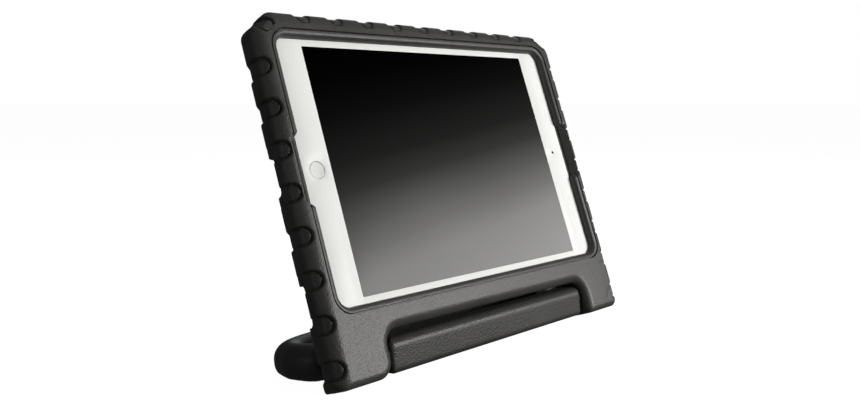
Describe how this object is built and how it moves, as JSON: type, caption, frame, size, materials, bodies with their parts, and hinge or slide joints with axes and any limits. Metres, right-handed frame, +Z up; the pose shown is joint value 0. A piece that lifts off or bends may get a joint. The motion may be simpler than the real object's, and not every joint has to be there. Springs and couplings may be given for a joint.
{
  "type": "tablet case",
  "caption": "Moulded foam tablet case with legs, rounded grip bumps and a fold-back stand handle, holding a flat tablet with working buttons.",
  "frame": {"origin": "middle of the footprint, on the surface that the case stands on", "axes": "+X to the right along the case, +Y to the back where the handle is, +Z up; the screen faces -Y and leans back 21 degrees"},
  "size_m": [0.264, 0.091, 0.2028],
  "materials": {
    "case_foam": "charcoal moulded foam with a fine leathery grain",
    "handle_foam": "charcoal moulded foam with a fine leathery grain",
    "hinge_plastic": "black moulded plastic",
    "hinge_steel": "plain steel",
    "tablet_metal": "satin silver",
    "tablet_bezel": "gloss white under glass",
    "tablet_screen": "dark display under glass",
    "home_button": "gloss white",
    "lens": "dark lens",
    "battery": "black wrapped cell",
    "board": "green circuit board",
    "speaker": "black box",
    "connector": "plated shell"
  },
  "bodies": {
    "case": {"case_shell": "case_foam", "front_lip_top": "case_foam", "front_lip_bottom": "case_foam", "hinge_socket_left": "hinge_plastic", "hinge_socket_right": "hinge_plastic"},
    "handle": {"handle_grip": "handle_foam", "handle_core": "hinge_plastic", "hinge_pin_left": "hinge_steel", "hinge_pin_right": "hinge_steel"},
    "tablet": {"tablet_back_cover": "tablet_metal", "tablet_front_bezel": "tablet_bezel", "tablet_screen": "tablet_screen", "tablet_front_camera": "lens", "rear_camera": "lens", "battery_left": "battery", "battery_right": "battery", "main_board": "board", "speaker_left": "speaker", "speaker_right": "speaker", "charging_port": "connector", "headphone_jack": "connector"},
    "home_key": {"home_button": "home_button"},
    "power_key": {"power_button": "tablet_metal"},
    "volume_up_key": {"volume_up_button": "tablet_metal"},
    "volume_down_key": {"volume_down_button": "tablet_metal"}
  },
  "joints": [
    {"name": "handle_turn", "type": "hinge", "parent": "case", "child": "handle", "pos_m": [0, -0.03282, 0.01396], "axis": [1, 0, 0], "range_deg": [-103.5, 0]},
    {"name": "tablet_out", "type": "slide", "parent": "case", "child": "tablet", "axis": [0, -0.9336, 0.3584], "range_m": [0, 0.03], "deforming": ["front_lip_top", "front_lip_bottom"]},
    {"name": "home_press", "type": "slide", "parent": "tablet", "child": "home_key", "axis": [0, 0.9336, -0.3584], "range_m": [0, 0.0004], "stiffness_N_per_m": 800},
    {"name": "power_press", "type": "slide", "parent": "tablet", "child": "power_key", "axis": [-1, 0, 0], "range_m": [0, 0.0004], "stiffness_N_per_m": 800},
    {"name": "volume_up_press", "type": "slide", "parent": "tablet", "child": "volume_up_key", "axis": [0, 0.3584, 0.9336], "range_m": [0, 0.0004], "stiffness_N_per_m": 800},
    {"name": "volume_down_press", "type": "slide", "parent": "tablet", "child": "volume_down_key", "axis": [0, 0.3584, 0.9336], "range_m": [0, 0.0004], "stiffness_N_per_m": 800}
  ]
}
